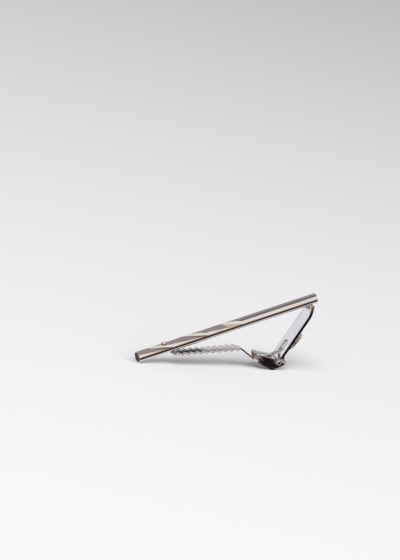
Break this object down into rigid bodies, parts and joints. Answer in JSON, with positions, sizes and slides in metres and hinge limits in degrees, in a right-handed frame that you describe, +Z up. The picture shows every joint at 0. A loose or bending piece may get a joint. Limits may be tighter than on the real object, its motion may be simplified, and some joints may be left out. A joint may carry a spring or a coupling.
{
  "type": "tie clip",
  "caption": "Slim round-rod tie clip with diagonal wedge cuts, a small set crystal and a hinged, toothed spring jaw behind.",
  "frame": {"origin": "middle of the clip's footprint, on the floor it stands on", "axes": "+X towards the hinge end, where the rod is highest; +Y across the clip, away from the side first seen; +Z up. The clip stands on the rod's free end and on the bottom corner of the jaw lever."},
  "size_m": [0.0552, 0.0048, 0.0235],
  "materials": {
    "rod_plating": "mirror-polished nickel plate",
    "crystal": "clear faceted crystal",
    "setting_plating": "polished plate, slightly warm",
    "strap_plating": "polished nickel plate",
    "solder": "plated over, softer shine",
    "pin_plating": "polished nickel plate",
    "lever_plating": "polished nickel plate, softer on the stamped teeth",
    "spring_steel": "bright spring steel"
  },
  "bodies": {
    "clip_frame": {"front_rod": "rod_plating", "crystal": "crystal", "crystal_setting": "setting_plating", "back_strap": "strap_plating", "solder_fillet": "solder", "wishbone_spring": "spring_steel"},
    "jaw": {"jaw_lever": "lever_plating", "hinge_pin": "pin_plating"}
  },
  "joints": [
    {"name": "jaw_hinge", "type": "hinge", "parent": "clip_frame", "child": "jaw", "pos_m": [0.0191, 0, 0.00248], "axis": [0, -1, 0], "range_deg": [0, 5.5], "stiffness_Nm_per_rad": 0.05, "springref_deg": -11.46, "deforming": ["wishbone_spring"]}
  ]
}
